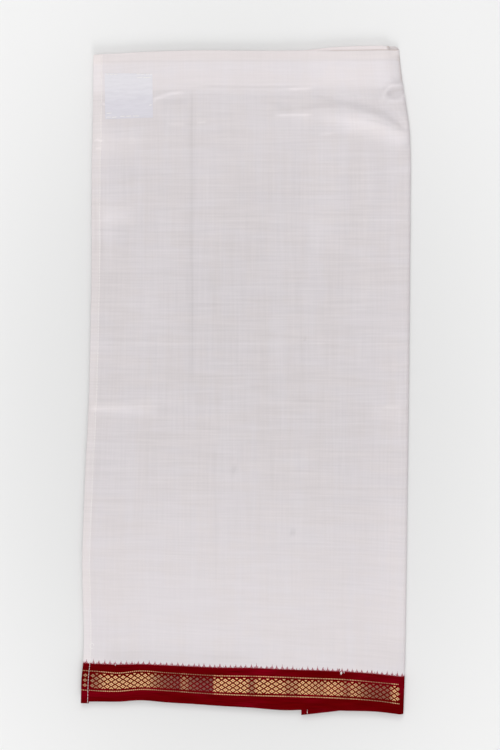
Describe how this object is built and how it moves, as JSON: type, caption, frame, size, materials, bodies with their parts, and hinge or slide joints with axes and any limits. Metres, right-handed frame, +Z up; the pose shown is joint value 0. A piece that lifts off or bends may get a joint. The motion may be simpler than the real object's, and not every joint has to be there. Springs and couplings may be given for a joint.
{
  "type": "folded dhoti cloth",
  "caption": "White dhoti cloth folded flat, with a maroon border, a gold diamond band, a rolled hem and a bare label.",
  "frame": {"origin": "middle of the folded bundle's box, on the surface that it rests on", "axes": "+X from the hemmed end towards the wrapped fold, +Y from the border towards the top fold, +Z up through the leaves"},
  "size_m": [0.3153, 0.6394, 0.0091],
  "materials": {
    "ground": "plain weave with a soft silky sheen",
    "hem": "rolled and stitched plain weave",
    "maroon": "dense matt weave",
    "zari": "gold thread diamonds on maroon",
    "label": "thin satin, bare"
  },
  "bodies": {
    "root": {"folded_cloth": "ground", "folded_border": "maroon", "front_border_lower": "maroon", "front_zari": "zari", "front_border_upper": "maroon", "front_cloth": "ground", "hem_border_lower": "maroon", "hem_zari": "zari", "hem_border_upper": "maroon", "hem_cloth": "hem", "second_border_lower": "maroon", "second_zari": "zari", "second_border_upper": "maroon", "second_cloth": "ground", "second_hem_border_lower": "maroon", "second_hem_zari": "zari", "second_hem_border_upper": "maroon", "second_hem_cloth": "hem", "label": "label"}
  },
  "joints": []
}
